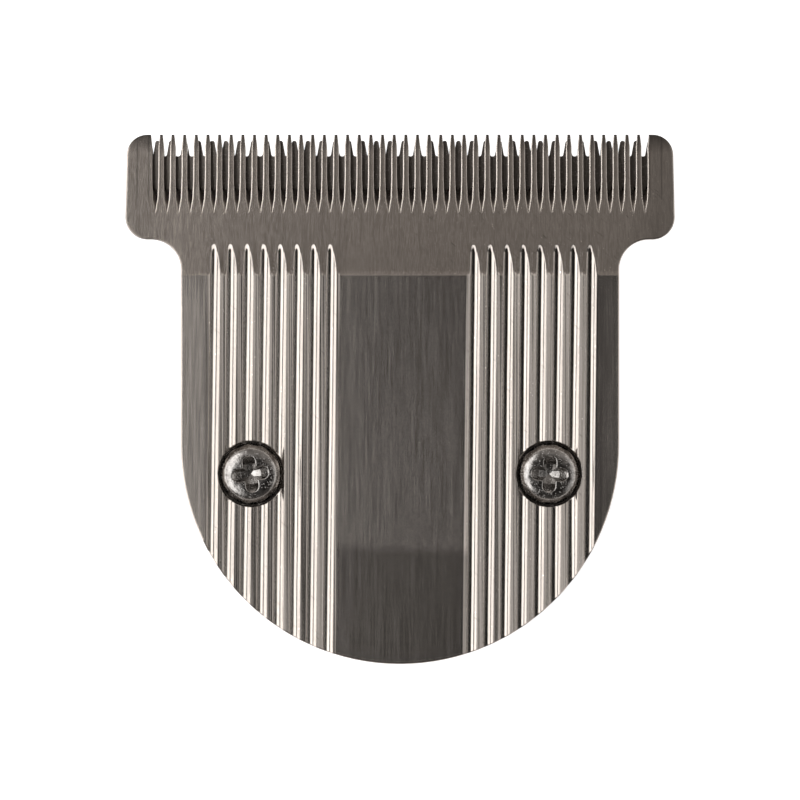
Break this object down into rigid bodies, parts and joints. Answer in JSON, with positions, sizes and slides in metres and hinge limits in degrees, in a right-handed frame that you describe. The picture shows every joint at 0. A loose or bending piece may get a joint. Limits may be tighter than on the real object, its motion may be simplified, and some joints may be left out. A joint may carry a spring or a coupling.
{
  "type": "hair clipper blade",
  "caption": "T-shaped steel clipper blade with a grooved, bevelled comb, a spring-loaded sliding cutter behind its teeth and a clip-on plastic seat.",
  "frame": {"origin": "middle of the blade's length and width, on the back of the seat", "axes": "+X across the tooth row, +Y towards the tooth tips, +Z out of the grooved face"},
  "size_m": [0.04, 0.0386, 0.0086],
  "materials": {
    "comb_steel": "brushed along the teeth",
    "cutter_steel": "dark ground",
    "slider_plastic": "moulded, satin",
    "spring_steel": "drawn wire",
    "pin_steel": "turned",
    "seat_plastic": "moulded, fine grain",
    "screw_steel": "dark nickel"
  },
  "bodies": {
    "head": {"comb_blade": "comb_steel", "blade_seat": "seat_plastic", "pressure_spring": "spring_steel", "spring_pin": "pin_steel", "seat_screws": "screw_steel"},
    "cutter": {"cutter_blade": "cutter_steel", "drive_slider": "slider_plastic"}
  },
  "joints": [
    {"name": "cutter_slide", "type": "slide", "parent": "head", "child": "cutter", "axis": [1, 0, 0], "range_m": [-0.00152, 0.00098]}
  ]
}
